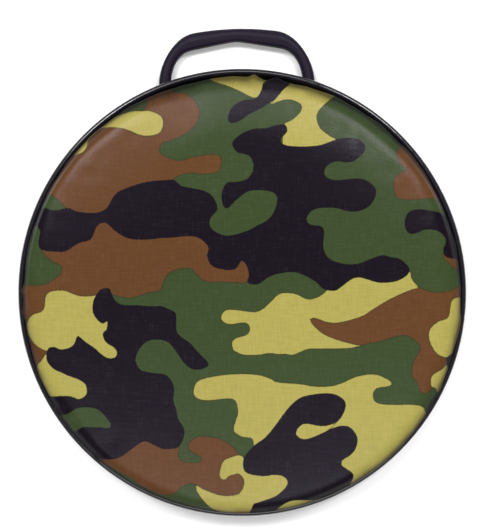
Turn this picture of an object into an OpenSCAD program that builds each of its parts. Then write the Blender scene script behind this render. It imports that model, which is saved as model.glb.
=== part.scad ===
// Padded disc seat with a carry handle.
// A shallow moulded tray with a rolled rim holds a round upholstered pad: a stiff board, a foam
// disc and a fabric cover that is turned under the board and stapled. The handle is a moulding of
// its own, with two tongues that run under the tray and are screwed up through it into the board.
// The seat lies flat on z = 0 with the pad up, and the handle points along +Y.

/* [Tray] */
// Diameter over the rim bead
rim_d = 400; // [380:5:420]
// Height of the top of the rim bead
tray_h = 19; // [19:0.5:21]
// Diameter of the rim bead's round section
bead_d = 6; // [5:0.5:6]
// Wall thickness of the moulding
wall = 2.5; // [2:0.25:3]
// Height of the tray's floor above the surface that the seat lies on
foot_h = 6; // [5.5:0.25:6.25]
// Number of stiffening ribs under the floor
rib_count = 12; // [4:4:12]

/* [Pad] */
// Height of the pad's flat middle
pad_h = 52; // [50:1:60]
// Gap between the pad's side and the inner edge of the bead
side_gap = 0.8; // [0.5:0.1:2]
// Width of the pad's rounded shoulder
shoulder_w = 22; // [15:1:35]
// Height of the pad's rounded shoulder
shoulder_h = 20; // [14:1:22]
// How much the pad's middle stands above the top of its shoulder
crown = 3; // [0:0.5:6]
// Thickness of the stiff board
board_t = 6; // [5:0.5:7]
// Thickness of the covering fabric
cover_t = 0.8; // [0.6:0.1:1]
// Width of the fabric that is turned under the board
turn_in = 22; // [18:1:24]
// Number of staples round the board
staple_count = 36; // [12:6:48]

/* [Handle] */
// Height of the handle's outer edge above the rim, at the middle
handle_reach = 36.5; // [30:0.5:45]
// Distance between the middles of the two legs
leg_spacing = 128.5; // [125:0.5:133]
// Width of each leg
leg_w = 10.8; // [8:0.2:12]
// Width of the grip at its middle
grip_w = 11.7; // [9:0.1:12.5]
// Thickness of the legs, up from the tongues
leg_t = 11; // [9:0.5:11]
// Thickness of the grip
grip_t = 13; // [11:0.5:14]

/* [Screws] */
// Diameter of the screws' shanks
screw_d = 3.5; // [3:0.5:4]
// Diameter of the screws' heads
head_d = 7; // [6:0.5:7.5]
// Height of the screws' heads
head_t = 2; // [1.6:0.2:2]

/* [Hidden] */
$fn = 128;
eps = 0.01;

// Tray
bead_r = bead_d / 2;
bead_c = rim_d / 2 - bead_r;
bead_z = tray_h - bead_r;
wall_r = bead_c - wall;
corner_r = 6;
corner_c = wall_r - corner_r;
floor_top = foot_h + wall;
lip_slot = 2;
foot_ring_r = wall_r - 13.5;
foot_ring_w = 3;
dimple_r = 18;
support_h = 2;
support_w = 3;
support_radii = [rim_d / 2 - 52, rim_d * 0.15];
rib_w = 2;
rib_h = 3;
boss_r = 5;

// Pad
board_z = floor_top + support_h;
board_top = board_z + board_t;
board_r = wall_r - wall - 2;
pad_r = bead_c - bead_r - side_gap;
shoulder_z = pad_h - crown - shoulder_h;
bulge_z = tray_h + 3;
turn_r = board_r - turn_in;
flat_r = 40;

// Staples
staple_r = board_r - 14;
staple_crown = 10;
staple_wire_w = 1.2;
staple_wire_t = 0.7;
staple_leg = 5;

// Handle
leg_x = leg_spacing / 2;
leg_out = leg_x + leg_w / 2;
leg_in = leg_x - leg_w / 2;
tongue_w = 26;
tongue_t = 4.5;
tongue_z = foot_h - tongue_t;
tongue_end = rim_d / 2 - 85;
plinth_w = 14;
plinth_r = rim_d / 2 - 1;
handle_top = rim_d / 2 + handle_reach;
handle_z = tongue_z + leg_t / 2;
leg_start = rim_d / 2 - 14;
ring_sides = 20;
squareness = 2.6;

// Screws
hole_gap = 0.1;
handle_screw_y = [rim_d / 2 - 72, rim_d / 2 - 54];
handle_screw_l = 11;
board_screw_r = rim_d * 0.275;
board_screw_l = 8.5;
board_screw_count = 6;
counterbore_d = head_d + 1;
counterbore_t = head_t + 0.2;

// A point on the cubic curve that p's four points steer
function curve(p, t) =
    pow(1 - t, 3) * p[0] + 3 * t * pow(1 - t, 2) * p[1] + 3 * t * t * (1 - t) * p[2] + pow(t, 3) * p[3];

// Points along an arc round c, from angle a to angle b in n steps
function arc(c, r, a, b, n) = [for (k = [0:n]) c + r * [cos(a + (b - a) * k / n), sin(a + (b - a) * k / n)]];

// x to the power k, with x's own sign
function signed_pow(x, k) = sign(x) * pow(abs(x), k);

// The pad's outer section from its widest point to its middle, moved in by d
function pad_curve(d) = concat(
    [for (a = [0:10:90])
        [
            pad_r - shoulder_w + (shoulder_w - d) * signed_pow(cos(a), 0.8),
            shoulder_z + (shoulder_h - d) * signed_pow(sin(a), 0.8)
        ]],
    [for (u = [0.75:-0.25:0])
        [flat_r + u * (pad_r - shoulder_w - flat_r), pad_h - d - crown * u * u]],
    [[0, pad_h - d]]
);

// The tray's section: out along the underside, over the bead and back along the upper side
module tray_section() {
    wall_z = foot_h + corner_r;
    lip_x = lip_slot / 2;
    lip_z = sqrt(bead_r * bead_r - lip_x * lip_x);
    lip_angle = atan2(lip_z, lip_x);
    polygon(concat(
        [
            [0, 0],
            [dimple_r, 0],
            [dimple_r + foot_h, foot_h],
            [foot_ring_r - foot_ring_w, foot_h],
            [foot_ring_r - foot_ring_w, 0],
            [foot_ring_r, 0],
            [foot_ring_r, foot_h]
        ],
        arc([corner_c, wall_z], corner_r, -90, 0, 12),
        [
            [bead_c - lip_x, bead_z - lip_z],
            [bead_c - lip_x, bead_z],
            [bead_c + lip_x, bead_z]
        ],
        arc([bead_c, bead_z], bead_r, -lip_angle, 180, 36),
        arc([corner_c, wall_z], corner_r - wall, 0, -90, 8),
        [for (r = support_radii, p = [[1, 0], [1, 1], [0, 1], [0, 0]])
            [r + p.x * support_w, floor_top + p.y * support_h]],
        [
            [dimple_r + foot_h - 1, floor_top],
            [dimple_r - 1, wall],
            [0, wall]
        ]
    ));
}

// All the space inside the tray's outer skin, as one solid that cuts the handle to fit
module tray_envelope() {
    rotate_extrude() {
        translate([0, foot_h])
            square([corner_c, corner_r + eps]);
        translate([corner_c, foot_h + corner_r])
            circle(corner_r);
        translate([0, foot_h + corner_r])
            square([wall_r, tray_h]);
    }
}

// Repeats its children at each handle screw
module at_handle_screws() {
    for (side = [-1, 1], y = handle_screw_y)
        translate([side * leg_x, y, 0])
            children();
}

// Repeats its children at each board screw
module at_board_screws() {
    for (k = [0:board_screw_count - 1])
        rotate(k * 360 / board_screw_count)
            translate([board_screw_r, 0, 0])
                children();
}

module screw_hole(low, high) {
    translate([0, 0, low])
        cylinder(d = screw_d + 2 * hole_gap, h = high - low);
}

module base_tray() {
    color([0.07, 0.065, 0.08])
        difference() {
            union() {
                rotate_extrude()
                    tray_section();
                for (k = [0:rib_count - 1])
                    rotate((k + 0.5) * 360 / rib_count)
                        translate([dimple_r + foot_h - 1, -rib_w / 2, foot_h - rib_h])
                            cube([foot_ring_r - dimple_r - foot_h, rib_w, rib_h + 1]);
                at_handle_screws()
                    translate([0, 0, floor_top - 1])
                        cylinder(r = boss_r, h = support_h + 1);
                at_board_screws()
                    translate([0, 0, floor_top - 1])
                        cylinder(r = boss_r, h = support_h + 1);
            }
            at_handle_screws()
                screw_hole(foot_h - 1, board_z + 1);
            at_board_screws()
                screw_hole(foot_h - 1, board_z + 1);
            for (side = [-1, 1])
                translate([side * leg_x - tongue_w / 2 - 0.3, tongue_end, -1])
                    cube([tongue_w + 0.6, wall_r - tongue_end, foot_h + 1]);
        }
}

// One half of the handle's plan, as pairs of outer and inner points from the leg to the middle
function half_plan() =
    let (
        outer = [
            [leg_out, rim_d / 2 - 11],
            [leg_out, rim_d / 2 + 5],
            [leg_out - 13.5, handle_top - 5],
            [leg_out - 33.5, handle_top - 2.6],
        ],
        inner = [
            [leg_in, rim_d / 2 - 10],
            [leg_in - 0.8, rim_d / 2 + 1],
            [leg_in - 5.6, handle_top - 21],
            [leg_in - 19, handle_top - 18.5],
        ],
        peak = handle_top - grip_w,
        soft = 3,
        slope = (peak - inner[3].y) / (sqrt(pow(inner[3].x, 2) + soft * soft) - soft)
    )
    concat(
        [[[leg_out + 0.7, leg_start], [leg_in - 0.4, leg_start]]],
        [for (t = [0:1 / 14:1 + eps]) [curve(outer, t), curve(inner, t)]],
        [for (k = [1:8])
            let (
                u = 1 - k / 8,
                x_out = u * outer[3].x,
                x_in = u * inner[3].x
            )
            [
                [x_out, handle_top - (handle_top - outer[3].y) * u * u],
                [x_in, peak - slope * (sqrt(x_in * x_in + soft * soft) - soft)]
            ]]
    );

// One ring of the handle's skin, in the upright plane through an outer and an inner point
function ring(pair, half_t) =
    let (
        middle = (pair[0] + pair[1]) / 2,
        half_w = (pair[0] - pair[1]) / 2
    )
    [for (k = [0:ring_sides - 1])
        let (
            a = k * 360 / ring_sides,
            p = middle + half_w * signed_pow(cos(a), 2 / squareness)
        )
        [p.x, p.y, handle_z + half_t * signed_pow(sin(a), 2 / squareness)]];

module handle_bow() {
    half = half_plan();
    last = len(half) - 1;
    pairs = concat(
        half,
        [for (k = [last - 1:-1:0]) [[-half[k][0].x, half[k][0].y], [-half[k][1].x, half[k][1].y]]]
    );
    count = len(pairs);
    points = [for (k = [0:count - 1])
        let (
            from_leg = min(k, count - 1 - k) / last,
            half_t = (leg_t + (grip_t - leg_t) * pow(sin(90 * from_leg), 2)) / 2
        )
        each ring(pairs[k], half_t)];
    sides = [for (k = [0:count - 2], s = [0:ring_sides - 1])
        let (
            a = k * ring_sides + s,
            b = k * ring_sides + (s + 1) % ring_sides
        )
        [b, b + ring_sides, a + ring_sides, a]];
    first_end = [for (s = [ring_sides - 1:-1:0]) s];
    last_end = [for (s = [0:ring_sides - 1]) (count - 1) * ring_sides + s];
    polyhedron(points, concat(sides, [first_end, last_end]), convexity = 6);
}

module handle_foot() {
    translate([leg_x - tongue_w / 2, tongue_end + tongue_w / 2, tongue_z])
        cube([tongue_w, wall_r - tongue_end, tongue_t]);
    translate([leg_x, tongue_end + tongue_w / 2, tongue_z])
        cylinder(d = tongue_w, h = tongue_t);
    translate([leg_x - plinth_w / 2, leg_start - 16, tongue_z])
        cube([plinth_w, 40, leg_t]);
}

module handle() {
    color([0.1, 0.09, 0.11])
        difference() {
            union() {
                handle_bow();
                intersection() {
                    union() {
                        handle_foot();
                        mirror([1, 0, 0])
                            handle_foot();
                    }
                    cylinder(r = plinth_r, h = tray_h);
                }
            }
            tray_envelope();
            at_handle_screws() {
                screw_hole(-1, tray_h);
                translate([0, 0, tongue_z - 1])
                    cylinder(d = counterbore_d, h = 1 + counterbore_t);
            }
        }
}

// A pan head screw, driven upwards, with the underside of its head at z = 0
module screw(shank_l) {
    point_l = screw_d * 0.8;
    difference() {
        union() {
            translate([0, 0, -head_t / 2])
                cylinder(d = head_d, h = head_t / 2);
            translate([0, 0, -head_t])
                cylinder(d1 = head_d - head_t, d2 = head_d, h = head_t / 2);
            cylinder(d = screw_d, h = shank_l - point_l);
            translate([0, 0, shank_l - point_l])
                cylinder(d1 = screw_d, d2 = 0.6, h = point_l);
        }
        for (turn = [0, 90])
            rotate(turn)
                translate([-head_d / 4, -0.45, -head_t - eps])
                    cube([head_d / 2, 0.9, head_t * 0.6]);
    }
}

module handle_screws() {
    color([0.62, 0.62, 0.64])
        at_handle_screws()
            translate([0, 0, tongue_z + counterbore_t])
                screw(handle_screw_l);
}

module board_screws() {
    color([0.62, 0.62, 0.64])
        at_board_screws()
            translate([0, 0, foot_h])
                screw(board_screw_l);
}

// Repeats its children at each staple, with y along the staple's crown
module at_staples() {
    for (k = [0:staple_count - 1])
        rotate((k + 0.5) * 360 / staple_count)
            translate([staple_r, 0, board_z - cover_t])
                children();
}

// The two legs of one staple, up from z = low, with their wire thicker by 2 * grow
module staple_legs(low, grow) {
    wide = staple_wire_w + 2 * grow;
    thick = staple_wire_t + 2 * grow;
    for (side = [-1, 1])
        translate([-wide / 2, side * (staple_crown - staple_wire_t) / 2 - thick / 2, low])
            cube([wide, thick, cover_t + staple_leg + grow - low]);
}

module cover_staples() {
    color([0.7, 0.7, 0.72])
        at_staples() {
            translate([-staple_wire_w / 2, -staple_crown / 2, -staple_wire_t])
                cube([staple_wire_w, staple_crown, staple_wire_t]);
            staple_legs(-staple_wire_t, 0);
        }
}

module seat_board() {
    color([0.78, 0.64, 0.44])
        difference() {
            translate([0, 0, board_z])
                cylinder(r = board_r, h = board_t);
            at_handle_screws()
                screw_hole(0, board_z + 5);
            at_board_screws()
                screw_hole(0, board_z + 5);
            at_staples()
                staple_legs(-1, 0.05);
        }
}

module foam_pad() {
    color([0.93, 0.9, 0.78])
        rotate_extrude()
            polygon(concat(
                [[0, board_top], [board_r, board_top], [pad_r - cover_t, bulge_z]],
                pad_curve(cover_t)
            ));
}

module cover() {
    outer = concat(
        [
            [turn_r, board_z - cover_t],
            [board_r + cover_t, board_z - cover_t],
            [board_r + cover_t, board_top],
            [pad_r, bulge_z]
        ],
        pad_curve(0)
    );
    inner = concat(
        [
            [turn_r, board_z],
            [board_r, board_z],
            [board_r, board_top],
            [pad_r - cover_t, bulge_z]
        ],
        pad_curve(cover_t)
    );
    color([0.26, 0.34, 0.2])
        difference() {
            rotate_extrude()
                polygon(concat(outer, [for (k = [len(inner) - 1:-1:0]) inner[k]]));
            at_staples()
                staple_legs(-1, 0.05);
        }
}

base_tray();
handle();
handle_screws();
seat_board();
foam_pad();
cover();
cover_staples();
board_screws();
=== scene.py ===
"""Looks for the padded disc seat with a carry handle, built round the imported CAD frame.

The cover is a pad shape that a short cloth simulation swells over its foam. The camouflage print is
drawn on it as signed distances to smooth outlines, which the fabric's material turns into inks. All
other pieces are the CAD's own nodes with procedural materials.

The soft pieces are worked out in millimetres and turned into metres as a mesh gets its points.
Materials, lights and the camera are in metres.
"""

import math

import bpy
import numpy as np
from mathutils import Matrix, Vector, noise


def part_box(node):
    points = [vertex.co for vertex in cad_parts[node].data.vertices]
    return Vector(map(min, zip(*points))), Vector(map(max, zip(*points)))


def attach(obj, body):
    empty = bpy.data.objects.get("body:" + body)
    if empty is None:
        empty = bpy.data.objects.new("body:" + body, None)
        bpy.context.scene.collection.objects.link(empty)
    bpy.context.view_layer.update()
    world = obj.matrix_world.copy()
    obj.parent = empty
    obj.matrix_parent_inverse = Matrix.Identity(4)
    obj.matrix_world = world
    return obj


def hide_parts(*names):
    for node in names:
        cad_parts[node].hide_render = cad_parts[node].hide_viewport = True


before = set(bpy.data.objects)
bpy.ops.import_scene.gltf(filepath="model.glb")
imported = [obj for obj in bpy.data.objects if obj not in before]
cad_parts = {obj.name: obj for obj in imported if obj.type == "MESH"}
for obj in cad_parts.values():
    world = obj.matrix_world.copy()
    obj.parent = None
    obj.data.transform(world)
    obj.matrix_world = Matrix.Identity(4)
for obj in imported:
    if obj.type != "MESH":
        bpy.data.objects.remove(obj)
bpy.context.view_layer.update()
MM = 0.001


def node_size(node):
    """The radius, the lowest height and the top of a round CAD node, in mm."""
    low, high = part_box(node)
    return [round(value / MM, 2) for value in (high.x, low.z, high.z)]


# Sizes that the frame gives, in mm
PAD_R, _, PAD_H = node_size("cover")
BOARD_R, BOARD_Z, BOARD_TOP = node_size("seat_board")
COVER_T = round(PAD_H - node_size("foam_pad")[2], 2)
TRAY_TOP = node_size("base_tray")[2]

# Sizes inside the pad that no box gives, as in part.scad
SHOULDER_W = 22.0
SHOULDER_H = 20.0
CROWN = 3.0
FLAT_R = 40.0
TURN_IN = 22.0

CORE_R = PAD_R - SHOULDER_W
SHOULDER_Z = PAD_H - CROWN - SHOULDER_H
TURN_R = BOARD_R - TURN_IN
# The side is upright from the shoulder down to here, and draws in to the board below
BULGE_Z = TRAY_TOP + 3
# The power that squares the shoulder's curve off a little, and the length of cloth along that curve
ROUNDNESS = 0.8
SHOULDER_ARC = 34.0
# The pad sits this far off the tray's middle, away from the handle
OFF_CENTRE = 1.25

# Outlines of the print's patches, seen from above, x to the right and y towards the handle.
# A point further out than the pad's side stands for cloth that runs down the side.
BROWN_PATCHES = [
    [(-62, 184), (-56, 181), (-46, 180), (-34, 164), (-36, 153), (-46, 143), (-53, 140), (-60, 137),
     (-66, 136), (-69, 132), (-69, 127), (-56, 120), (-48, 120), (-41, 122), (-20, 124), (-16, 121),
     (-17, 112), (-20, 109), (-34, 108), (-42, 109), (-55, 106), (-58, 103), (-80, 90), (-120, 70),
     (-148, 74), (-152, 81), (-163, 92), (-172, 91), (-180, 95), (-160, 125), (-120, 160), (-105, 158),
     (-90, 160), (-84, 163), (-81, 168), (-79, 171), (-82, 180)],
    [(-174, 46), (-163, 34), (-157, 31), (-157, 24), (-162, 20), (-168, 16), (-175, 14), (-190, 14),
     (-202, 12), (-200, -14), (-186, -16), (-165, -5), (-125, 2), (-116, 4), (-113, 5), (-110, 4),
     (-96, 2), (-82, 6), (-71, 8), (-68, 16), (-61, 24), (-43, 26), (-40, 22), (-32, 15), (-18, 14),
     (-3, 13), (3, 13), (12, 20), (10, 38), (-20, 46), (-45, 62), (-60, 65), (-120, 72), (-140, 60),
     (-165, 55)],
    [(-194, -26), (-165, -40), (-168, -52), (-188, -62)],
    [(-135, -150), (-126, -141), (-115, -130), (-90, -115), (-65, -122), (-58, -130), (-59, -134),
     (-59, -138), (-56, -142), (-44, -144), (-40, -143), (-38, -140), (-48, -133), (-50, -130),
     (-49, -126), (-41, -121), (-21, -124), (-10, -132), (-7, -136), (-4, -139), (-3, -150), (0, -160),
     (-4, -176), (-25, -176), (-40, -168), (-44, -163), (-49, -162), (-55, -164), (-65, -172),
     (-71, -173), (-83, -170), (-96, -162), (-100, -158), (-112, -152), (-120, -147), (-126, -146)],
    [(137, 122), (141, 112), (146, 108), (138, 104), (134, 100), (134, 88), (136, 84), (141, 82),
     (169, 82), (176, 80), (185, 80), (170, 110), (146, 132)],
    [(54, -22), (80, -10), (147, 8), (154, 5), (164, 1), (180, 1), (194, 6), (203, 0), (200, -40),
     (190, -60), (183, -60), (178, -64), (172, -75), (158, -88), (154, -86), (150, -76), (147, -73),
     (147, -62), (154, -48), (151, -42), (140, -36), (118, -41), (110, -42), (103, -44), (75, -45)],
    [(176, 34), (183, 34), (195, 32), (197, 18), (189, 20), (184, 22), (180, 27), (176, 31)],
]
SAND_PATCHES = [
    [(-25, 192), (-10, 186), (0, 181), (15, 173), (19, 177), (23, 188), (26, 192), (20, 198), (0, 198)],
    [(28, 167), (40, 171), (47, 171), (55, 166), (54, 160), (45, 152), (40, 150), (38, 140), (40, 125),
     (75, 125), (85, 134), (79, 138), (70, 146), (68, 157), (80, 171), (88, 176), (80, 185), (60, 192),
     (46, 194), (40, 184)],
    [(-66, 157), (-77, 164), (-84, 164), (-92, 164), (-100, 162), (-106, 160), (-115, 162), (-135, 148),
     (-155, 130), (-147, 126), (-141, 127), (-136, 128), (-132, 133), (-131, 139), (-126, 144),
     (-120, 149), (-101, 149), (-83, 142), (-71, 143), (-67, 146)],
    [(-130, 4), (-140, 4), (-147, 6), (-154, 9), (-168, 8), (-171, 4), (-174, -8), (-184, -12),
     (-190, -22), (-184, -36), (-173, -43), (-165, -44), (-150, -48), (-125, -55), (-105, -52),
     (-105, -35), (-112, -15), (-120, 5)],
    [(-172, -46), (-177, -52), (-181, -56), (-182, -61), (-176, -76), (-172, -83), (-165, -88),
     (-150, -90), (-140, -90), (-130, -80), (-135, -68), (-150, -60), (-165, -52)],
    [(-19, -18), (-15, -11), (10, -13), (15, -12), (25, -4), (30, 1), (35, 3), (46, 2), (57, -3),
     (66, -1), (73, 4), (80, 12), (100, 20), (130, 20), (146, 19), (147, 14), (150, 9), (154, 5),
     (149, 4), (129, -4), (113, -13), (105, -18), (81, -24), (73, -23), (61, -19), (58, -20), (69, -33),
     (100, -44), (103, -44), (95, -46), (64, -46), (56, -46), (42, -51), (37, -50), (30, -50), (22, -49),
     (15, -50), (1, -50), (-5, -48), (-9, -45), (-9, -37), (4, -32), (6, -28), (5, -24), (2, -22),
     (-10, -23), (-15, -22)],
    [(-43, -76), (-40, -72), (-15, -67), (13, -68), (24, -72), (27, -74), (51, -77), (60, -79),
     (76, -79), (84, -77), (99, -71), (115, -70), (129, -78), (127, -80), (115, -82), (112, -86),
     (114, -94), (134, -97), (143, -97), (156, -100), (160, -107), (170, -112), (140, -145), (95, -178),
     (60, -150), (30, -135), (12, -131), (7, -130), (7, -126), (5, -123), (-2, -122), (-6, -120),
     (-10, -116), (-8, -107), (-6, -101), (-8, -90), (-12, -88), (-32, -89), (-39, -88), (-44, -84)],
    [(-5, -138), (-14, -140), (-19, -142), (-23, -152), (-23, -157), (-21, -159), (-18, -159),
     (-15, -156), (-11, -155), (-7, -154), (-2, -160), (-4, -169), (-9, -173), (-24, -173), (-43, -164),
     (-44, -163), (-44, -168), (-32, -185), (-20, -192), (-10, -200), (10, -200), (20, -190), (40, -170),
     (40, -158), (10, -145), (0, -142)],
    [(24, -197), (28, -187), (40, -180), (60, -181), (67, -180), (75, -186), (50, -195)],
    [(184, -6), (202, -8), (198, -40), (188, -58), (182, -55), (179, -57), (170, -54), (163, -44),
     (162, -33), (170, -25), (179, -22)],
    [(178, -64), (174, -67), (164, -73), (164, -82), (168, -84), (170, -88), (180, -88), (186, -68)],
]
BLACK_PATCHES = [
    [(-190, 66), (-184, 84), (-174, 82), (-160, 79), (-149, 81), (-143, 78), (-128, 76), (-121, 77),
     (-116, 80), (-108, 92), (-101, 96), (-80, 102), (-66, 103), (-57, 103), (-51, 98), (-34, 94),
     (-27, 91), (-22, 85), (-20, 76), (-24, 72), (-27, 67), (-26, 61), (-14, 54), (6, 58), (14, 62),
     (22, 66), (28, 72), (32, 85), (29, 90), (8, 92), (-4, 84), (-12, 77), (-15, 80), (-16, 91),
     (-11, 100), (-5, 100), (7, 103), (12, 112), (9, 122), (-2, 126), (-5, 130), (-6, 134), (1, 141),
     (14, 146), (22, 146), (40, 149), (42, 143), (36, 136), (38, 132), (67, 130), (81, 134), (87, 136),
     (100, 136), (105, 134), (109, 130), (109, 125), (99, 116), (92, 115), (85, 116), (78, 114),
     (74, 110), (73, 106), (76, 102), (82, 100), (108, 100), (118, 90), (112, 77), (98, 72), (80, 76),
     (62, 74), (57, 66), (60, 62), (70, 60), (72, 56), (71, 44), (72, 38), (76, 32), (90, 27), (100, 27),
     (115, 32), (122, 34), (130, 32), (138, 30), (146, 20), (137, 12), (120, 10), (99, 15), (87, 8),
     (81, 4), (70, 6), (64, 12), (49, 20), (41, 21), (25, 18), (13, 11), (4, 13), (6, 18), (4, 28),
     (0, 32), (-4, 26), (-8, 24), (-26, 28), (-30, 38), (-28, 43), (-36, 52), (-44, 54), (-62, 53),
     (-70, 53), (-78, 52), (-97, 53), (-108, 59), (-117, 67), (-121, 67), (-125, 64), (-129, 55),
     (-132, 52), (-138, 51), (-143, 49), (-153, 43), (-160, 43), (-174, 45), (-176, 48), (-175, 57),
     (-174, 61), (-178, 66), (-183, 64)],
    [(-9, 153), (-6, 151), (3, 154), (9, 158), (21, 164), (27, 168), (31, 170), (39, 180), (43, 184),
     (46, 187), (44, 190), (36, 192), (24, 189), (22, 187), (21, 182), (16, 173), (2, 170), (-7, 163)],
    [(145, 70), (142, 60), (146, 52), (154, 53), (159, 55), (171, 54), (178, 47), (178, 43), (176, 39),
     (177, 32), (200, 30), (195, 50), (188, 66), (180, 66), (172, 70), (152, 73)],
    [(-115, 10), (-114, 7), (-110, -1), (-105, -4), (-90, -5), (-80, -6), (-70, -6), (-66, -8),
     (-61, -10), (-58, -13), (-58, -24), (-57, -30), (-46, -39), (-41, -45), (-31, -56), (-30, -58),
     (-38, -62), (-48, -60), (-65, -38), (-75, -35), (-82, -36), (-88, -40), (-94, -52), (-90, -61),
     (-80, -64), (-68, -66), (-62, -74), (-61, -80), (-62, -88), (-60, -95), (-58, -105), (-54, -112),
     (-53, -119), (-59, -130), (-65, -131), (-72, -131), (-83, -126), (-88, -124), (-110, -138),
     (-117, -140), (-130, -140), (-145, -140), (-158, -122), (-150, -116), (-142, -111), (-134, -111),
     (-126, -111), (-120, -112), (-117, -110), (-126, -97), (-132, -94), (-146, -94), (-157, -100),
     (-170, -100), (-178, -86), (-169, -84), (-155, -83), (-149, -84), (-145, -86), (-138, -82),
     (-138, -74), (-142, -70), (-154, -65), (-160, -62), (-165, -60), (-172, -52), (-171, -42),
     (-168, -40), (-164, -40), (-160, -42), (-150, -40), (-146, -35), (-145, -30), (-137, -36),
     (-130, -41), (-119, -50), (-112, -50), (-110, -46), (-112, -42), (-120, -36), (-122, -28),
     (-119, -26), (-118, -18), (-120, -20), (-123, -20), (-130, -11), (-129, 1), (-122, 10)],
    [(7, -130), (18, -122), (39, -96), (46, -90), (53, -87), (78, -86), (88, -94), (82, -109),
     (69, -114), (50, -112), (44, -120), (51, -125), (79, -115), (86, -114), (92, -116), (98, -126),
     (94, -138), (84, -145), (83, -148), (94, -158), (92, -167), (90, -171), (92, -178), (75, -186),
     (68, -180), (60, -181), (41, -180), (34, -182), (25, -190), (23, -197), (3, -199), (2, -192),
     (4, -187), (6, -182), (12, -180), (27, -174), (36, -164), (35, -160), (31, -157), (24, -156),
     (15, -157), (1, -154), (-2, -151), (-2, -141)],
    [(178, -57), (188, -55), (184, -72), (180, -68)],
]

# The cloth's own turn on the tray
PRINT_TURN = math.radians(0.24)
# Each mm that an outline goes past the pad's side stands for this much cloth down the side
SIDE_STRETCH = 10
# Distances to an outline aren't worked out past this
DISTANCE_REACH = 12.0
# Points whose distances are worked out together, which limits the memory
BATCH = 4000

# How the pad's edge departs from a plain disc, in mm. Angles and half widths are in degrees, from +X
# towards +Y. Over each pair of radii or heights, an effect goes from none to full.

# Where the edge puckers out over the rim, or draws in from it: angle, half width, shift outwards
EDGE_SHIFTS = [
    (135, 28, 1.0),
    (168, 9, 0.2),
    (93, 7, 1.0),
    (85.5, 1.0, 2.6),
    (82.5, 1.0, -1.6),
    (79.5, 1.3, 2.0),
    (75, 2.5, -1.5),
    (177, 1.2, 2.0),
    (182.8, 1.3, 1.8),
    (211, 1.6, 1.8),
    (227, 1.8, 1.6),
    (351, 4.0, 1.0),
    (46, 22, 0.7),
    (318, 14, 0.5),
    (243, 10, 0.8),
]
SHIFT_RADII = (174, 192)
SHIFT_HEIGHTS = (49, 36)

# Small gathers where the cloth's spare length is taken up above the rim, and their number in a radian
GATHER_DEPTH = 1.6
GATHER_COUNT = 11
GATHER_RADII = (180, 192)
GATHER_HEIGHTS = (42, 26)

# Where the flat top reaches further out before it turns down: angle, half width, reach
WIDE_TOPS = [
    (150, 25, 4.8),
    (29, 15, 3.6),
]
WIDE_TOP_RADII = (148, 174)
WIDE_TOP_END = (193, 182)

# Where the top falls away sooner than elsewhere: angle, half width, start radius, drop
EDGE_SAGS = [
    (82, 24, 138, 2.4),
    (106, 10, 140, 2.4),
    (52, 14, 155, 0.8),
]
SAG_HEIGHTS = (BULGE_Z, SHOULDER_Z + 6)

# The soft pieces' meshes: faces across the flat top, over the shoulder and down the upright side
GRID = 64
SHOULDER_STEPS = 12
SIDE_STEPS = 4

# The cover before it swells: its top starts lower, and its side has slight puckers
SWELL_ROOM = 1.2
PUCKER_SIZE = 17
PUCKER_DEPTH = 0.0016
PUCKER_RADII = (172, 190)

# The cloth simulation, and the furthest that it may move a point
CLOTH_FRAMES = 20
CLOTH_MASS = 0.3
CLOTH_QUALITY = 6
PRESSURE = 0.25
STIFFNESS = 80
SHEAR_STIFFNESS = 15
BENDING_STIFFNESS = 1.0
SHRINK = 0.003
SWELL_CAP = 5.0

# The foam stays inside the cover by this much, and stands on the board just inside its edge
FOAM_INSET = 5.0
FOAM_FOOT_R = BOARD_R - 1.5
FOAM_FOOT_Z = BOARD_TOP + 0.3
FOAM_BUMP_SIZE = 22
FOAM_BUMP_HEIGHT = 0.5

# Inks, as linear colours, and the line where two of them overlap
GREEN = (0.0303, 0.0487, 0.0155)
BROWN = (0.0890, 0.0366, 0.0120)
SAND = (0.298, 0.261, 0.0630)
BLACK = (0.0052, 0.0030, 0.0066)
OVERPRINT = (0.026, 0.024, 0.010)
PRINTS = (("brown", BROWN, BROWN_PATCHES), ("sand", SAND, SAND_PATCHES), ("black", BLACK, BLACK_PATCHES))

# Soft boxes: azimuth from +X towards +Y and elevation in degrees, width and height in m, power in W
LIGHT_DISTANCE = 3.4
SOFT_BOXES = {
    "light_upper_left": (130, 58, 0.6, 0.9, 54),
    "light_upper_right": (51, 58, 0.6, 0.9, 54),
    "light_top": (97, 59, 1.6, 0.8, 33),
    "light_bottom": (268, 60, 2.6, 1.6, 49),
}
SKY_STRENGTH = 0.29


def ease(span, x):
    """Rises smoothly from 0 to 1 as x goes over the span, which may run downwards."""
    low, high = span
    t = np.clip((x - low) / (high - low), 0, 1)
    return t * t * (3 - 2 * t)


def near_angle(angle, at, half_width):
    """1 at one angle, fading out on both sides of it, all in degrees."""
    away = (angle - at + 180) % 360 - 180
    return np.exp(-((away / half_width) ** 2))


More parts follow.
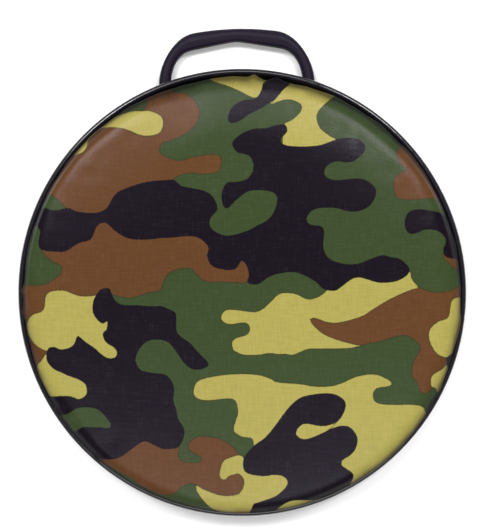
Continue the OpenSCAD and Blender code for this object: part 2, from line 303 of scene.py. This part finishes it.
def smooth_outline(points, steps=6):
    """A closed centripetal Catmull-Rom curve through the points."""
    p1 = np.array(points, float)
    p0, p2, p3 = np.roll(p1, 1, 0), np.roll(p1, -1, 0), np.roll(p1, -2, 0)

    def knot(a, b):
        return np.maximum(np.hypot(*(b - a).T), 1e-6)[:, None] ** 0.5

    d1, d2, d3 = knot(p0, p1), knot(p1, p2), knot(p2, p3)
    m1 = ((p1 - p0) / d1 - (p2 - p0) / (d1 + d2) + (p2 - p1) / d2) * d2
    m2 = ((p2 - p1) / d2 - (p3 - p1) / (d2 + d3) + (p3 - p2) / d3) * d2
    rows = []
    for k in range(steps):
        t = k / steps
        rows.append(
            (2 * t**3 - 3 * t**2 + 1) * p1
            + (t**3 - 2 * t**2 + t) * m1
            + (3 * t**2 - 2 * t**3) * p2
            + (t**3 - t**2) * m2
        )
    return np.stack(rows, 1).reshape(-1, 2)


def at_radius(xy, radius):
    """The points xy moved out or in along their own direction to the given radius."""
    r = np.maximum(np.hypot(xy[:, 0], xy[:, 1]), 1e-6)
    return xy * (radius / r)[:, None]


def unroll_outline(xy):
    """An outline seen from above, laid out on the flat cloth."""
    r = np.hypot(xy[:, 0], xy[:, 1])
    across = np.clip((r - CORE_R) / SHOULDER_W, 0, 1) ** (1 / ROUNDNESS)
    turn = 1 - np.arccos(across) / (math.pi / 2)
    radius = np.minimum(r, CORE_R) + SHOULDER_ARC * turn + SIDE_STRETCH * np.maximum(r - PAD_R, 0)
    return at_radius(xy, radius)


def unroll_cover(co):
    """Points on the pad, laid out on the flat cloth, which lies PRINT_TURN off the tray."""
    r = np.hypot(co[:, 0], co[:, 1])
    across = np.clip((r - CORE_R) / SHOULDER_W, 0, None) ** (1 / ROUNDNESS)
    up = np.clip((co[:, 2] - SHOULDER_Z) / SHOULDER_H, 0, None) ** (1 / ROUNDNESS)
    turn = np.where(r > CORE_R, 1 - np.arctan2(up, across) / (math.pi / 2), 0)
    below_shoulder = co[:, 2] < SHOULDER_Z
    radius = np.where(
        below_shoulder,
        CORE_R + SHOULDER_ARC + SHOULDER_Z - co[:, 2] + np.maximum(BOARD_R - r, 0),
        np.minimum(r, CORE_R) + SHOULDER_ARC * turn,
    )
    c, s = math.cos(PRINT_TURN), math.sin(PRINT_TURN)
    return at_radius(co[:, :2], radius) @ np.array([[c, s], [-s, c]])


def signed_distance(points, outline):
    """Distance from each point to a closed outline, positive inside it, up to DISTANCE_REACH."""
    low, high = outline.min(0) - DISTANCE_REACH, outline.max(0) + DISTANCE_REACH
    near = np.flatnonzero(((points > low) & (points < high)).all(1))
    result = np.full(len(points), -DISTANCE_REACH)
    if not len(near):
        return result
    a, b = outline, np.roll(outline, -1, 0)
    span = b - a
    length2 = np.maximum((span**2).sum(1), 1e-9)
    for part in np.array_split(near, len(near) // BATCH + 1):
        p = points[part]
        gap = p[:, None, :] - a[None]
        t = np.clip((gap * span).sum(2) / length2, 0, 1)
        away = gap - t[..., None] * span
        distance = np.minimum(np.sqrt((away**2).sum(2).min(1)), DISTANCE_REACH)
        crosses = (a[:, 1] > p[:, 1:2]) != (b[:, 1] > p[:, 1:2])
        slope = span[:, 0] / np.where(span[:, 1] == 0, 1e-9, span[:, 1])
        x_at = a[:, 0] + (p[:, 1:2] - a[:, 1]) * slope
        inside = (crosses & (p[:, :1] < x_at)).sum(1) % 2 == 1
        result[part] = np.where(inside, distance, -distance)
    return result


def patches_distance(points, patches):
    """The greatest of the signed distances to several patches."""
    outlines = [unroll_outline(smooth_outline(patch)) for patch in patches]
    return np.max([signed_distance(points, outline) for outline in outlines], 0)


def pad_section(inset, foot):
    """Radius and height from the end of the flat middle out, over the shoulder and down to the foot.

    The foot is a list of further corners, each a radius, a height and the number of steps to it.
    """
    rows = []
    for k in range(1, SHOULDER_STEPS + 1):
        a = math.pi / 2 * (1 - k / SHOULDER_STEPS)
        rows.append((
            CORE_R + (SHOULDER_W - inset) * math.cos(a) ** ROUNDNESS,
            SHOULDER_Z + (SHOULDER_H - inset) * math.sin(a) ** ROUNDNESS,
        ))
    for r, z, steps in [(PAD_R - inset, BULGE_Z, SIDE_STEPS)] + foot:
        r0, z0 = rows[-1]
        for k in range(1, steps + 1):
            rows.append((r0 + (r - r0) * k / steps, z0 + (z - z0) * k / steps))
    return rows


def dome_height(r, inset):
    """Height of the crowned top at a radius."""
    u = np.clip((r - FLAT_R) / (CORE_R - FLAT_R), 0, 1)
    return PAD_H - inset - CROWN * u * u


def disc_grid(inset):
    """A square grid of points bent into the disc of the pad's top, its faces, and its border in order."""
    half = np.linspace(-1, 1, GRID + 1)
    a, b = np.meshgrid(half, half, indexing="ij")
    wide = np.abs(a) >= np.abs(b)
    r = np.where(wide, a, b)
    safe = np.where(r == 0, 1, r)
    turn = np.where(wide, math.pi / 4 * b / safe, math.pi / 2 - math.pi / 4 * a / safe)
    x, y = CORE_R * r * np.cos(turn), CORE_R * r * np.sin(turn)
    points = np.stack([x, y, dome_height(np.hypot(x, y), inset)], 2).reshape(-1, 3).tolist()
    row = GRID + 1
    faces = []
    for i in range(GRID):
        for j in range(GRID):
            faces.append((i * row + j, (i + 1) * row + j, (i + 1) * row + j + 1, i * row + j + 1))
    border = [i * row for i in range(GRID)]
    border += [GRID * row + j for j in range(GRID)]
    border += [i * row + GRID for i in range(GRID, 0, -1)]
    border += [j for j in range(GRID, 0, -1)]
    return points, faces, border


def pad_mesh(name, inset, foot, closed):
    """A mesh of near-square faces: a grid bent into a disc, then rings down the side to the foot."""
    points, faces, ring = disc_grid(inset)
    count = len(ring)
    for r, z in pad_section(inset, foot):
        next_ring = []
        for v in ring:
            angle = math.atan2(points[v][1], points[v][0])
            next_ring.append(len(points))
            points.append([r * math.cos(angle), r * math.sin(angle), z])
        for k in range(count):
            n = (k + 1) % count
            faces.append((ring[k], next_ring[k], next_ring[n], ring[n]))
        ring = next_ring
    if closed:
        points.append([0, 0, points[ring[0]][2]])
        for k in range(count):
            faces.append((ring[k], len(points) - 1, ring[(k + 1) % count]))
    mesh = bpy.data.meshes.new(name)
    mesh.from_pydata((np.array(points) * MM).tolist(), [], faces)
    mesh.update()
    return mesh


def get_points(mesh):
    """A mesh's points, in mm."""
    co = np.zeros(len(mesh.vertices) * 3)
    mesh.vertices.foreach_get("co", co)
    return co.reshape(-1, 3) / MM


def set_points(mesh, co):
    mesh.vertices.foreach_set("co", (co * MM).ravel())


def noise_at(points):
    return np.array([noise.noise(Vector(point)) for point in points])


def add_object(name, mesh):
    piece = bpy.data.objects.new(name, mesh)
    bpy.context.scene.collection.objects.link(piece)
    return piece


def apply_modifiers(piece):
    bpy.context.view_layer.update()
    graph = bpy.context.evaluated_depsgraph_get()
    mesh = bpy.data.meshes.new_from_object(piece.evaluated_get(graph))
    old = piece.data
    piece.modifiers.clear()
    piece.data = mesh
    bpy.data.meshes.remove(old)
    mesh.name = piece.name
    return mesh


def shade_smooth(mesh):
    mesh.polygons.foreach_set("use_smooth", [True] * len(mesh.polygons))
    mesh.update()


def swell(piece):
    """Blows the cover up a little, as the foam inside it does."""
    cloth = piece.modifiers.new("Cloth", "CLOTH")
    cloth.settings.quality = CLOTH_QUALITY
    cloth.settings.mass = CLOTH_MASS
    cloth.settings.tension_stiffness = STIFFNESS
    cloth.settings.compression_stiffness = STIFFNESS
    cloth.settings.shear_stiffness = SHEAR_STIFFNESS
    cloth.settings.bending_stiffness = BENDING_STIFFNESS
    cloth.settings.use_pressure = True
    cloth.settings.uniform_pressure_force = PRESSURE
    cloth.settings.shrink_min = SHRINK
    cloth.settings.effector_weights.gravity = 0
    cloth.collision_settings.use_collision = False
    scene = bpy.context.scene
    for step in range(1, CLOTH_FRAMES + 1):
        scene.frame_set(step)
    apply_modifiers(piece)
    scene.frame_set(1)


def cap_moves(co, rest):
    """Limits how far the swelling moved each point, and puts the stapled cloth under the board back."""
    move = co - rest
    length = np.maximum(np.linalg.norm(move, axis=1), 1e-6)
    free = ease((BOARD_TOP, BULGE_Z), rest[:, 2])
    return rest + move * (free * np.minimum(1, SWELL_CAP / length))[:, None]


def shape_edge(co):
    """Moves the pad's side out or in and its top down, where the cloth is bunched or pulled tight."""
    turns = np.arctan2(co[:, 1], co[:, 0])
    angle = np.degrees(turns) % 360
    r = np.hypot(co[:, 0], co[:, 1])
    shift = np.zeros(len(co))
    side = ease(SHIFT_RADII, r) * ease(SHIFT_HEIGHTS, co[:, 2])
    for at, width, amount in EDGE_SHIFTS:
        shift += amount * near_angle(angle, at, width) * side
    circle = GATHER_COUNT * np.column_stack([np.cos(turns), np.sin(turns)])
    gathers = noise_at(np.column_stack([circle, np.full(len(co), 0.5)]))
    shift += GATHER_DEPTH * gathers * ease(GATHER_RADII, r) * ease(GATHER_HEIGHTS, co[:, 2])
    shift *= ease((BOARD_TOP - 2, BULGE_Z), co[:, 2])
    for at, width, reach in WIDE_TOPS:
        shift += reach * near_angle(angle, at, width) * ease(WIDE_TOP_RADII, r) * ease(WIDE_TOP_END, r)
    for at, width, start, drop in EDGE_SAGS:
        fall = ease((start, PAD_R), r) * ease(SAG_HEIGHTS, co[:, 2])
        co[:, 2] -= drop * near_angle(angle, at, width) * fall
    co[:, :2] *= ((r + shift) / np.maximum(r, 1e-6))[:, None]
    return co


def move_off_centre(co):
    """Moves the pad away from the handle, above the board that it is stapled to."""
    co[:, 1] -= OFF_CENTRE * ease((BOARD_TOP, BULGE_Z + 4), co[:, 2])
    return co


def slacken(rest):
    """The cover's points before it swells, lower on top and slightly puckered on the side."""
    co = rest.copy()
    side = ease(PUCKER_RADII, np.hypot(rest[:, 0], rest[:, 1])) * ease((BOARD_TOP, BULGE_Z), rest[:, 2])
    co[:, :2] *= (1 + PUCKER_DEPTH * noise_at(rest / PUCKER_SIZE) * side)[:, None]
    co[:, 2] -= SWELL_ROOM * ease((BULGE_Z, PAD_H), rest[:, 2])
    return co


def subdivide(piece):
    subdivision = piece.modifiers.new("Subdivision", "SUBSURF")
    subdivision.levels = 1
    subdivision.render_levels = 1
    return apply_modifiers(piece)


def print_cloth(mesh, flat):
    """Gives the cover its place on the flat cloth, and its distances to the print's patches."""
    cloth = mesh.attributes.new("cloth", "FLOAT_VECTOR", "POINT")
    cloth.data.foreach_set("vector", np.column_stack([flat, np.zeros(len(flat))]).ravel() * MM)
    for name, _ink, patches in PRINTS:
        layer = mesh.attributes.new("print_" + name, "FLOAT", "POINT")
        layer.data.foreach_set("value", patches_distance(flat, patches))


def thicken(piece):
    shell = piece.modifiers.new("Thickness", "SOLIDIFY")
    shell.thickness = COVER_T * MM
    shell.offset = -1
    return apply_modifiers(piece)


def make_cover():
    """The printed cover, from a slack pad shape that swells, down its side and in under the board."""
    under = BOARD_Z - COVER_T
    foot = [(BOARD_R + COVER_T, BOARD_TOP, 2), (BOARD_R + COVER_T, under, 2), (TURN_R, under, 6)]
    cover = add_object("cover_cloth", pad_mesh("cover_cloth", 0.0, foot, closed=False))
    rest = get_points(cover.data)
    set_points(cover.data, slacken(rest))
    swell(cover)
    set_points(cover.data, cap_moves(get_points(cover.data), rest))
    mesh = subdivide(cover)
    co = shape_edge(get_points(mesh))
    print_cloth(mesh, unroll_cover(co))
    set_points(mesh, move_off_centre(co))
    shade_smooth(thicken(cover))
    return cover


def make_foam():
    """The foam inside the cover, as a closed shape on the board."""
    foot = [(FOAM_FOOT_R, FOAM_FOOT_Z, 2)]
    foam = add_object("foam_core", pad_mesh("foam_core", FOAM_INSET, foot, closed=True))
    co = get_points(foam.data)
    above = ease((BOARD_TOP, BULGE_Z + 6), co[:, 2])
    co[:, 2] += FOAM_BUMP_HEIGHT * noise_at(co / FOAM_BUMP_SIZE) * above
    set_points(foam.data, move_off_centre(shape_edge(co)))
    shade_smooth(foam.data)
    return foam


class Nodes:
    """A short way to write a node material."""

    def __init__(self, name):
        self.material = bpy.data.materials.new(name)
        self.material.use_nodes = True
        self.tree = self.material.node_tree
        self.tree.nodes.clear()
        output = self.tree.nodes.new("ShaderNodeOutputMaterial")
        self.shader = self.tree.nodes.new("ShaderNodeBsdfPrincipled")
        self.tree.links.new(self.shader.outputs[0], output.inputs["Surface"])

    def put(self, socket, value):
        """Links a socket into another, or sets its value; None leaves it as it is."""
        if isinstance(value, bpy.types.NodeSocket):
            self.tree.links.new(value, socket)
        elif value is not None:
            socket.default_value = value

    def surface(self, **values):
        """Sets the shader's sockets, so base_color sets Base Color."""
        for key, value in values.items():
            label = key.replace("_", " ").title().replace("Ior", "IOR")
            self.put(self.shader.inputs[label], value)

    def math(self, operation, a, b=None, c=None):
        node = self.tree.nodes.new("ShaderNodeMath")
        node.operation = operation
        for socket, value in zip(node.inputs, (a, b, c)):
            self.put(socket, value)
        return node.outputs[0]

    def mix(self, factor, a, b, blend="MIX"):
        """Mixes two colours, each a socket or three linear numbers."""
        node = self.tree.nodes.new("ShaderNodeMix")
        node.data_type = "RGBA"
        node.blend_type = blend
        factor_input, a_input, b_input = node.inputs[0], node.inputs[6], node.inputs[7]
        self.put(factor_input, factor)
        for socket, value in ((a_input, a), (b_input, b)):
            if isinstance(value, tuple):
                value = (*value, 1)
            self.put(socket, value)
        return node.outputs[2]

    def tint(self, color, factor, a, b):
        """Multiplies a colour by a mix of two others."""
        return self.mix(1.0, color, self.mix(factor, a, b), blend="MULTIPLY")

    def smooth_step(self, value, low, high, out_low=0.0, out_high=1.0):
        node = self.tree.nodes.new("ShaderNodeMapRange")
        node.interpolation_type = "SMOOTHSTEP"
        for socket, number in zip(node.inputs, (value, low, high, out_low, out_high)):
            self.put(socket, number)
        return node.outputs[0]

    def attribute(self, name, output):
        node = self.tree.nodes.new("ShaderNodeAttribute")
        node.attribute_name = name
        return node.outputs[output]

    def place(self):
        """The point's own place, in metres."""
        return self.tree.nodes.new("ShaderNodeTexCoord").outputs["Object"]

    def stretch(self, vector, scale):
        node = self.tree.nodes.new("ShaderNodeMapping")
        node.inputs["Scale"].default_value = scale
        self.put(node.inputs["Vector"], vector)
        return node.outputs[0]

    def noise(self, vector, scale, detail=3.0, roughness=0.5):
        node = self.tree.nodes.new("ShaderNodeTexNoise")
        node.inputs["Scale"].default_value = scale
        node.inputs["Detail"].default_value = detail
        node.inputs["Roughness"].default_value = roughness
        self.put(node.inputs["Vector"], vector)
        return node.outputs["Fac"]

    def axis(self, vector, index):
        node = self.tree.nodes.new("ShaderNodeSeparateXYZ")
        self.put(node.inputs[0], vector)
        return node.outputs[index]

    def cells(self, vector, scale):
        node = self.tree.nodes.new("ShaderNodeTexVoronoi")
        node.inputs["Scale"].default_value = scale
        self.put(node.inputs["Vector"], vector)
        return node.outputs["Distance"]

    def bump(self, height, distance, strength):
        node = self.tree.nodes.new("ShaderNodeBump")
        node.inputs["Strength"].default_value = strength
        node.inputs["Distance"].default_value = distance
        self.put(node.inputs["Height"], height)
        self.put(self.shader.inputs["Normal"], node.outputs[0])


def weave_height(n, flat):
    """A plain weave: weft ribs that run across the seat, and finer warp yarns between them."""
    weft_pitch, warp_pitch = 0.0021, 0.0013

    def wave(coordinate, pitch):
        return n.math("SINE", n.math("MULTIPLY_ADD", coordinate, 2 * math.pi / pitch, 0.0))

    weft = wave(n.axis(flat, 1), weft_pitch)
    warp = wave(n.axis(flat, 0), warp_pitch)
    plain = n.math("MULTIPLY_ADD", n.math("MULTIPLY", weft, warp), 0.35, n.math("ABSOLUTE", weft))
    return n.math("MULTIPLY_ADD", n.noise(flat, scale=900, detail=2), 0.35, plain)


def printed_color(n, flat):
    """The inks over each other, each with a slightly ragged edge, from distances in mm."""
    ragged = n.math("MULTIPLY_ADD", n.noise(flat, scale=700, detail=2), 0.9, -0.45)
    color = GREEN
    for name, ink, _patches in PRINTS:
        edge = n.math("ADD", n.attribute("print_" + name, "Fac"), ragged)
        color = n.mix(n.smooth_step(edge, -0.35, 0.35), color, ink)
        if name != "black":
            # Inks overlap a little at the edge of a patch, which leaves a darker line there
            from_line = n.math("ABSOLUTE", n.math("ADD", edge, 0.25))
            color = n.mix(n.smooth_step(from_line, 0.85, 0.15, 0.0, 0.6), color, OVERPRINT)
    return color


def fabric():
    """Printed canvas with a slight gloss, faded in places, with painted shade low on its side where it meets
    the rim.
    """
    n = Nodes("printed_fabric")
    flat = n.attribute("cloth", "Vector")
    place = n.place()
    n.bump(weave_height(n, flat), distance=0.000065, strength=0.5)

    weft_slubs = n.noise(n.stretch(flat, (70, 620, 1)), scale=1.0, detail=2)
    warp_slubs = n.noise(n.stretch(flat, (620, 70, 1)), scale=1.0, detail=2)
    grain = n.math("ADD", weft_slubs, warp_slubs)
    color = printed_color(n, flat)
    color = n.tint(color, n.smooth_step(grain, 0.6, 1.4), (0.90, 0.90, 0.91), (1.07, 1.07, 1.07))
    # The ink doesn't reach the very tops of the yarns
    color = n.mix(n.smooth_step(grain, 1.0, 1.5, 0.0, 0.04), color, (0.22, 0.21, 0.24))
    color = n.tint(color, n.noise(place, scale=9), (0.93, 0.93, 0.94), (1.06, 1.06, 1.05))

    # Painted shade low on the side, where the cloth runs down into the rim: the colour darkens there and the
    # cloth is duller
    painted_shade_below, painted_shade_top, raggedness = 0.040, 0.0487, 0.004
    level = n.math("MULTIPLY_ADD", n.noise(place, scale=45), raggedness, n.axis(place, 2))
    above_painted_shade = n.smooth_step(level, painted_shade_below, painted_shade_top)
    # Painted shade: darkens the cloth below the shoulder, towards the rim
    color = n.tint(color, above_painted_shade, (0.22, 0.205, 0.18), (1.0, 1.0, 1.0))
    polish = n.smooth_step(grain, 0.6, 1.4, 0.24, 0.20)
    dull = n.math("MULTIPLY_ADD", n.math("SUBTRACT", 1.0, above_painted_shade), 0.75, polish)
    n.surface(base_color=color, roughness=dull, specular_ior_level=0.115, specular_tint=(0.95, 0.88, 1.0, 1))
    return n.material


def moulded_plastic(name, tint, roughness, bump_mm, gloss):
    """Plastic with a fine moulded grain, and paler where it is rubbed."""
    n = Nodes(name)
    place = n.place()
    cloud = n.noise(place, scale=22, detail=4)
    rub = n.noise(place, scale=260, roughness=0.6)
    dark, light, worn = (tuple(shade * c for c in tint) for shade in (0.85, 1.2, 2.2))
    rubbed = n.smooth_step(n.math("MULTIPLY", cloud, rub), 0.3, 0.42, 0.0, 0.25)
    color = n.mix(rubbed, n.mix(cloud, dark, light), worn)
    fine, coarse = n.noise(place, scale=1400, detail=2), n.noise(place, scale=160, detail=2)
    n.bump(n.math("MULTIPLY_ADD", fine, 0.5, coarse), distance=bump_mm * MM, strength=0.35)
    polish = n.smooth_step(rub, 0.3, 0.7, roughness - 0.05, roughness + 0.08)
    n.surface(base_color=color, roughness=polish, specular_ior_level=gloss)
    return n.material


def steel(name, tint, roughness):
    """Bright plated steel with slight stains."""
    n = Nodes(name)
    place = n.place()
    stain = n.noise(place, scale=180)
    color = n.mix(stain, tuple(0.8 * c for c in tint), tint)
    n.bump(n.noise(n.stretch(place, (1, 1, 8)), scale=900, detail=2), distance=0.00004, strength=0.4)
    polish = n.smooth_step(stain, 0.3, 0.7, roughness, roughness + 0.12)
    n.surface(base_color=color, metallic=1.0, roughness=polish)
    return n.material


def plywood():
    """A pale face veneer, with bands and darker streaks that run along x."""
    n = Nodes("board_wood")
    place = n.place()
    bands = n.noise(n.stretch(place, (2, 16, 2)), scale=5, detail=4, roughness=0.6)
    grain = n.noise(n.stretch(place, (10, 260, 10)), scale=2)
    color = n.mix(n.smooth_step(bands, 0.35, 0.65), (0.55, 0.38, 0.20), (0.42, 0.26, 0.12))
    color = n.mix(n.smooth_step(grain, 0.35, 0.75, 0.0, 0.5), color, (0.30, 0.17, 0.08))
    n.bump(grain, distance=0.0002, strength=0.4)
    n.surface(base_color=color, roughness=0.62)
    return n.material


def foam_rubber():
    """Yellowed foam with open pores, painted darker inside as painted shade."""
    n = Nodes("foam")
    place = n.place()
    pores = n.cells(place, scale=620)
    color = n.mix(n.noise(place, scale=14), (0.80, 0.72, 0.50), (0.88, 0.83, 0.66))
    # Painted shade: the pores' hollows are coloured darker
    color = n.mix(n.smooth_step(pores, 0.1, 0.5, 0.45, 0.0), color, (0.45, 0.36, 0.2))
    n.bump(pores, distance=0.0006, strength=0.8)
    n.surface(base_color=color, roughness=0.95, specular_ior_level=0.2)
    return n.material


def floor_material():
    n = Nodes("pale_floor")
    color = n.mix(n.noise(n.place(), scale=30), (0.955, 0.955, 0.955), (0.965, 0.965, 0.965))
    n.surface(base_color=color, roughness=0.9, specular_ior_level=0.1)
    return n.material


def dress(piece, material):
    if not piece.material_slots:
        piece.data.materials.append(material)
    for slot in piece.material_slots:
        slot.material = material


def make_floor():
    half, z = 12.0, -0.0003
    corners = [(-half, -half, z), (half, -half, z), (half, half, z), (-half, half, z)]
    mesh = bpy.data.meshes.new("floor")
    mesh.from_pydata(corners, [], [(0, 1, 2, 3)])
    floor = add_object("floor", mesh)
    dress(floor, floor_material())


def make_camera():
    """A long lens that looks almost straight down, from a little towards the handle."""
    tilt, roll, distance = math.radians(2.0), math.radians(1.48), 1.25
    aim = Vector((-0.00178, 0.0261, 0.016))
    back = Vector((0, math.sin(tilt), math.cos(tilt)))
    side, up = Vector((1, 0, 0)), Vector((0, math.cos(tilt), -math.sin(tilt)))
    right = math.cos(roll) * side - math.sin(roll) * up
    above = math.sin(roll) * side + math.cos(roll) * up
    data = bpy.data.cameras.new("camera")
    data.sensor_width = 36
    data.sensor_fit = "HORIZONTAL"
    data.lens = 105.25
    data.clip_end = 50
    camera = bpy.data.objects.new("camera", data)
    bpy.context.scene.collection.objects.link(camera)
    turned = Matrix((right, above, back)).transposed().to_4x4()
    camera.matrix_world = Matrix.Translation(aim + distance * back) @ turned
    bpy.context.scene.camera = camera


def soft_box(name, azimuth, elevation, width, height, power):
    """An area light aimed at the floor under the middle of the seat."""
    a, e = math.radians(azimuth), math.radians(elevation)
    data = bpy.data.lights.new(name, "AREA")
    data.shape = "RECTANGLE"
    data.size, data.size_y = width, height
    data.energy = power
    light = bpy.data.objects.new(name, data)
    bpy.context.scene.collection.objects.link(light)
    place = LIGHT_DISTANCE * Vector((math.cos(e) * math.cos(a), math.cos(e) * math.sin(a), math.sin(e)))
    light.location = place
    light.rotation_euler = place.to_track_quat("Z", "Y").to_euler()


def make_studio():
    world = bpy.data.worlds.new("studio")
    world.use_nodes = True
    background = world.node_tree.nodes["Background"]
    background.inputs["Color"].default_value = (1, 1, 1, 1)
    background.inputs["Strength"].default_value = SKY_STRENGTH
    bpy.context.scene.world = world
    bpy.context.scene.view_settings.view_transform = "Standard"
    for name, facts in SOFT_BOXES.items():
        soft_box(name, *facts)


make_camera()
make_floor()
make_studio()

cover = make_cover()
foam = make_foam()
for piece, slot, node, material in (
    (cover, "printed_fabric", "cover", fabric()),
    (foam, "foam", "foam_pad", foam_rubber()),
):
    dress(piece, material)
    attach(piece, "root")
    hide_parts(node)

screw_steel = steel("screw_steel", (0.62, 0.62, 0.64), roughness=0.3)
for node, material in (
    ("base_tray", moulded_plastic("tray_plastic", (0.007, 0.0055, 0.0095), 0.15, bump_mm=0.02, gloss=0.48)),
    ("handle", moulded_plastic("handle_plastic", (0.0075, 0.0042, 0.0125), 0.45, bump_mm=0.12, gloss=0.10)),
    ("handle_screws", screw_steel),
    ("board_screws", screw_steel),
    ("cover_staples", steel("staple_steel", (0.66, 0.66, 0.67), roughness=0.35)),
    ("seat_board", plywood()),
):
    dress(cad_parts[node], material)
